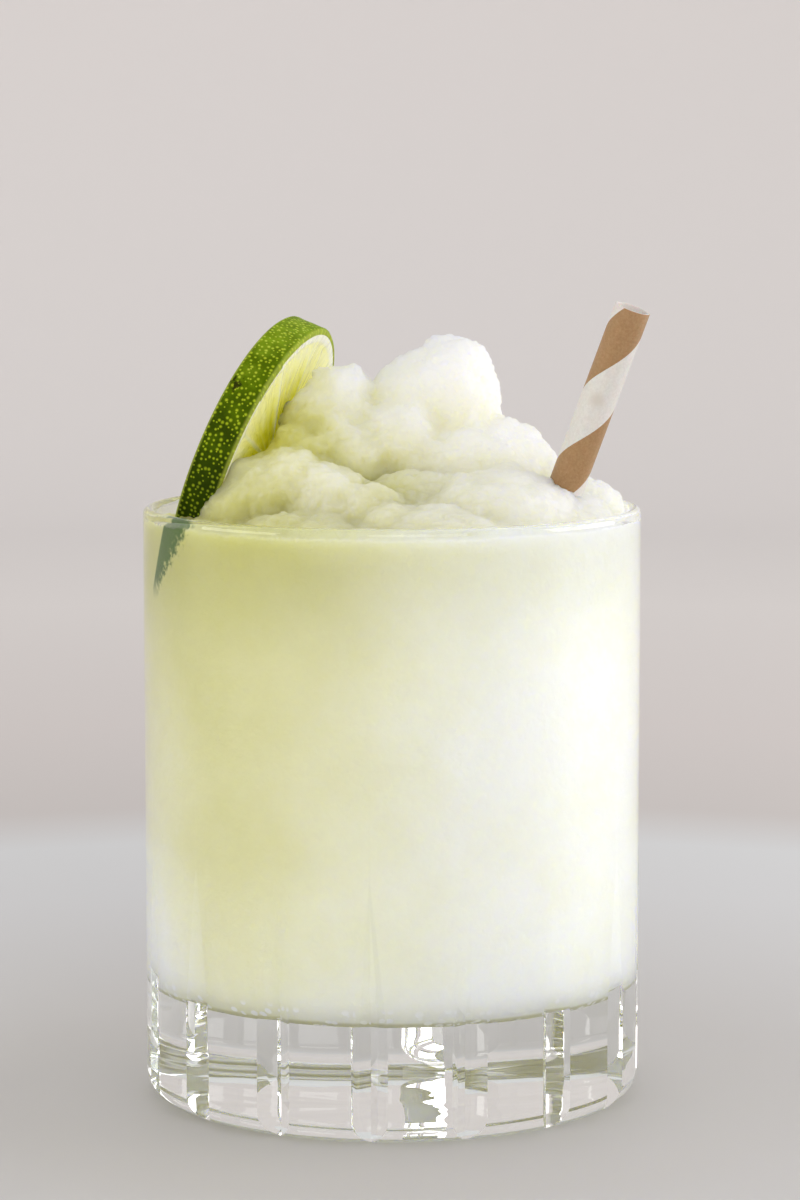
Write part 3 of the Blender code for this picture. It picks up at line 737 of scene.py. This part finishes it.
def buildLime():
    t = lime
    half, outer, edge = t["thick"] / 2, t["radius"], t["edge"]
    # half the outline of the wheel: face, rounded edge, peel; the other face mirrors the first
    rows = int((outer - edge) / t["ringGap"])
    face = [((outer - edge) * i / rows, half) for i in range(rows + 1)]
    bend = [(outer - edge + edge * math.sin(a), half - edge + edge * math.cos(a)) for a in t["edgeTurns"]]
    rows, drop = t["peelRows"], t["thick"] - 2 * edge
    side = [(outer + t["peelProud"], half - edge - drop * i / rows) for i in range(rows + 1)]
    lower = [(r, -z) for r, z in (face + bend)][::-1]
    bm = lathe(face + bend + side + lower, t["steps"])
    coordLayer = bm.verts.layers.float_vector.new("sliceCoord")
    flesh = outer - t["pith"]
    (poreSize, poreHigh), (dentSize, dentHigh) = t["pores"], t["dents"]
    for v in bm.verts:
        radius, angle = math.hypot(v.co.x, v.co.y), math.atan2(v.co.y, v.co.x)
        # lobed outline, as fruit is
        lobe = 1 + t["lobes"][0] * math.sin(2 * angle + 0.6) + t["lobes"][1] * math.sin(5 * angle)
        v[coordLayer] = v.co.copy()
        v.co.x *= lobe
        v.co.y *= lobe
        if abs(v.co.z) > half - 0.01 and radius < outer - edge - 0.01:
            # the flesh dries and sinks between its membranes
            across = (angle * t["segments"] / (2 * math.pi)) % 1.0
            apart = min(across, 1 - across) * 2 * math.pi * radius / t["segments"]
            sunk = t["sink"] * smoothStep(0.2, 0.9, apart) * smoothStep(flesh + 0.3, flesh - 0.5, radius)
            sunk *= smoothStep(t["core"], t["core"] + 0.8, radius)
            sac = noise.noise(Vector((angle * t["sacTurns"], radius * t["sacLong"], v.co.z)))
            v.co.z -= math.copysign(sunk + sac * t["sacHigh"] * (sunk / t["sink"]), v.co.z)
        elif radius >= outer - 0.2:
            pore = noise.noise(v.co / poreSize) * poreHigh + noise.noise(v.co / dentSize) * dentHigh
            v.co.x *= 1 + pore / outer
            v.co.y *= 1 + pore / outer
    for f in bm.faces:
        centre = f.calc_center_median()
        f.material_index = 0 if math.hypot(centre.x, centre.y) > outer - t["peel"] else 1
    turn = Matrix.Rotation(math.radians(t["turn"]), 4, "Z") @ Matrix.Rotation(math.radians(t["tip"]), 4, "Y")
    piece = makePiece("limeWheel", bm, [peelMaterial(), cutLimeMaterial()], t["sharp"],
                      Matrix.Translation(t["centre"]) @ turn)
    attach(piece, "root")
    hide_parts("lime_slice")
    print("lime made:", len(piece.data.polygons), "faces")


buildLime()

# paper straw
straw = {
    "radius": 3.0, "wall": 0.45, "length": 120.5, "edge": 0.08, "rows": 40, "steps": 64, "sharp": 50,
    # it stands on the floor of the bowl at rest, leaning this many degrees that way
    "lean": 21.3, "heading": -24.3, "foot": (-0.7, 4.8), "rest": 19.2,
    # the printed spiral: height of one turn, share of it that is brown, and where it starts
    "pitch": 23.9, "brownShare": 0.477, "phase": 0.169,
    "kraftStops": [(0.30, "#97754c"), (0.50, "#a27e55"), (0.72, "#ad8b62")],
    "whiteStops": [(0.30, "#d2cec7"), (0.50, "#dad6d0"), (0.72, "#e1dfd9")],
    "greyPatchAt": (0.75, -2.9, 104.8), "greyPatchColour": "#b3a58f",
    "greyPatchEdge": {"From Min": 0.2, "From Max": 1.9, "To Min": 0.6, "To Max": 0.0},
}


def strawMaterial():
    # wound kraft paper with a printed white spiral: matt, faintly fibrous, a fold line along each turn
    t = straw
    material, tree = newMaterial("wound straw paper")
    coord = addNode(tree, "Attribute", {"attribute_name": "strawCoord"})
    parts = addNode(tree, "SeparateXYZ", links={"Vector": coord.outputs["Vector"]})
    angle = addNode(tree, "Math", bearingOf, links={0: parts.outputs["Y"], 1: parts.outputs["X"]})
    turns = addNode(tree, "Math", times, {1: -1 / (2 * math.pi)}, {0: angle})
    along = addNode(tree, "Math", {"operation": "MULTIPLY_ADD"}, {1: 1 / t["pitch"], 2: t["phase"]},
                    {0: parts.outputs["Z"]})
    wound = addNode(tree, "Math", plus, links={0: turns, 1: along})
    stripe = addNode(tree, "Math", {"operation": "FRACT"}, links={0: wound})
    brown = addNode(tree, "Math", {"operation": "LESS_THAN"}, {1: t["brownShare"]}, {0: stripe})
    # only the outside is printed
    flat = addNode(tree, "CombineXYZ", links={"X": parts.outputs["X"], "Y": parts.outputs["Y"]})
    radius = addNode(tree, "VectorMath", lengthOf, links={0: flat})
    outside = addNode(tree, "Math", over, {1: t["radius"] - t["edge"] * 1.2}, {0: radius.outputs["Value"]})
    printed = addNode(tree, "Math", times, links={0: brown, 1: outside})
    # fibres of 0.5 mm, coarser than those of real kraft so that they show
    fibres = addNode(tree, "TexNoise", inputs={"Scale": 2.2, "Detail": 6.0, "Roughness": 0.7},
                     links={"Vector": coord.outputs["Vector"]})
    kraft = addNode(tree, "ValToRGB", links={"Fac": fibres.outputs["Fac"]}, stops=t["kraftStops"])
    white = addNode(tree, "ValToRGB", links={"Fac": fibres.outputs["Fac"]}, stops=t["whiteStops"])
    # a faint grey patch on the white
    apart = addNode(tree, "VectorMath", distanceTo, {1: t["greyPatchAt"]}, {0: coord.outputs["Vector"]})
    greyPatch = addNode(tree, "MapRange", eased, t["greyPatchEdge"], {"Value": apart.outputs["Value"]})
    blotchy = addNode(tree, "Math", times, links={0: greyPatch, 1: fibres.outputs["Fac"]})
    patchedWhite = addNode(tree, "MixRGB", inputs={2: linear(t["greyPatchColour"])}, links={0: blotchy, 1: white})
    colour = addNode(tree, "MixRGB", links={0: printed, 1: patchedWhite, 2: kraft})
    # each layer of paper ends in a low step along the spiral
    fold = addNode(tree, "Math", {"operation": "PINGPONG"}, {1: 0.5}, {0: wound})
    step = addNode(tree, "MapRange", inputs={"From Min": 0.0, "From Max": 0.02}, links={"Value": fold})
    height = addNode(tree, "MixRGB", inputs={0: 0.12}, links={1: step, 2: fibres.outputs["Fac"]})
    bump = addNode(tree, "Bump", inputs={"Strength": 0.5, "Distance": 0.0001}, links={"Height": height})
    shader = addNode(tree, "BsdfPrincipled", inputs={
        "Roughness": 0.62, "IOR": 1.45, "Subsurface Weight": 0.25, "Subsurface Scale": 0.001,
        "Sheen Weight": 0.1},
        links={"Base Color": colour, "Normal": bump})
    addNode(tree, "OutputMaterial", links={"Surface": shader})
    return material


def buildStraw():
    t = straw
    outer, inner, edge, length = t["radius"], t["radius"] - t["wall"], t["edge"], t["length"]
    rows = [edge + (length - 2 * edge) * i / t["rows"] for i in range(t["rows"] + 1)]
    profile = [(outer, z) for z in rows] + [(outer - edge, length), (inner + edge, length)]
    profile += [(inner, z) for z in rows[::-1]] + [(inner + edge, 0.0), (outer - edge, 0.0)]
    bm = lathe(profile, t["steps"], closed=True)
    coordLayer = bm.verts.layers.float_vector.new("strawCoord")
    for v in bm.verts:
        v[coordLayer] = v.co.copy()
    lean = math.radians(t["lean"])
    turn = Matrix.Rotation(math.radians(t["heading"]), 4, "Z") @ Matrix.Rotation(lean, 4, "Y")
    place = Matrix.Translation((*t["foot"], t["rest"] + t["radius"] * math.sin(lean))) @ turn
    piece = makePiece("strawTube", bm, [strawMaterial()], t["sharp"], place)
    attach(piece, "root")
    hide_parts("paper_straw")


buildStraw()
print("straw made")

# stage and lights
studio = {
    # in metres: a floor that curves up into a wall all round, a hair below the glass
    "floorRadius": 0.95, "coveRadius": 0.30, "wallTop": 0.45, "drop": -0.00005, "coveSteps": 16, "steps": 96,
    # colour by distance, as shares of boardReach: painted light, pale under the foot, where the base gathers
    # light; painted shade, darker close round the glass against the lamps' brighter light there, and in a
    # band just past the table's edge
    "boardReach": 1.4,
    "boardStops": [(0.0215, "#f8f7ee"), (0.026, "#c8c4c2"), (0.05, "#c8c4c2"), (0.13, "#d6d5d6"),
                   (0.172, "#dadadb"), (0.205, "#cfc8c5"), (0.30, "#dbd3d0"), (0.50, "#ebe5e2"),
                   (0.70, "#ebe6e4")],
    "lamps": {
        "window": {"at": (0.68, 0.10, 0.25), "size": (0.6, 0.38), "watts": 2.08, "colour": "#ffffff"},
        "front": {"at": (0.20, -0.95, 0.36), "size": (0.8, 0.5), "watts": 2.4, "colour": "#ffffff"},
        "left": {"at": (-0.85, -0.25, 0.22), "size": (0.7, 0.32), "watts": 2.1, "colour": "#fffdfa"},
    },
    "lampsFace": (0, 0, 0.07),
    "sky": "#ffffff", "skyStrength": 0.7, "allBounces": 24, "glassBounces": 16,
}


def stageMaterial():
    # matt painted board: a pale round table top, then a warmer floor and wall; painted light pales it under
    # the glass's foot, and painted shade darkens it close round the glass and in a band past the table's
    # edge
    material, tree = newMaterial("matt painted board")
    coord = addNode(tree, "TexCoord")
    away = addNode(tree, "VectorMath", lengthOf, links={0: coord.outputs["Object"]})
    share = addNode(tree, "MapRange", inputs={"From Min": 0.0, "From Max": studio["boardReach"]},
                    links={"Value": away.outputs["Value"]})
    colour = addNode(tree, "ValToRGB", links={"Fac": share}, stops=studio["boardStops"])
    shader = addNode(tree, "BsdfPrincipled", inputs={"Roughness": 0.6}, links={"Base Color": colour})
    addNode(tree, "OutputMaterial", links={"Surface": shader})
    return material


def buildStage():
    s = studio
    cove = arc((s["floorRadius"], s["coveRadius"]), (s["coveRadius"],) * 2, -90, 0, s["coveSteps"])
    bm = lathe([(0, 0)] + cove + [(s["floorRadius"] + s["coveRadius"], s["wallTop"])], s["steps"])
    bmesh.ops.translate(bm, vec=(0, 0, s["drop"]), verts=bm.verts)
    # the floor faces up and the wall faces in
    outward = [f for f in bm.faces if f.calc_center_median().dot(f.normal) > 0 and f.normal.z <= 0.01]
    bmesh.ops.reverse_faces(bm, faces=outward)
    floor = makePiece("stageCove", bm, [stageMaterial()], scale=1.0)
    for name, lamp in s["lamps"].items():
        data = bpy.data.lights.new(name, "AREA")
        data.shape = "RECTANGLE"
        data.size, data.size_y = lamp["size"]
        data.energy = lamp["watts"]
        data.color = linear(lamp["colour"])[:3]
        light = bpy.data.objects.new(name, data)
        light.location = lamp["at"]
        aim = Vector(s["lampsFace"]) - light.location
        light.rotation_euler = aim.to_track_quat("-Z", "Y").to_euler()
        light.visible_camera = False
        bpy.context.scene.collection.objects.link(light)
    world = bpy.data.worlds.new("studio sky")
    bpy.context.scene.world = world
    world.use_nodes = True
    sky = world.node_tree.nodes["Background"]
    sky.inputs["Color"].default_value = linear(s["sky"])
    sky.inputs["Strength"].default_value = s["skyStrength"]
    bpy.context.scene.view_settings.view_transform = "Standard"
    # light crosses the thick base many times
    paths = bpy.context.scene.cycles
    paths.max_bounces = s["allBounces"]
    paths.glossy_bounces = paths.transmission_bounces = s["glassBounces"]


buildStage()
print("stage and lights made")
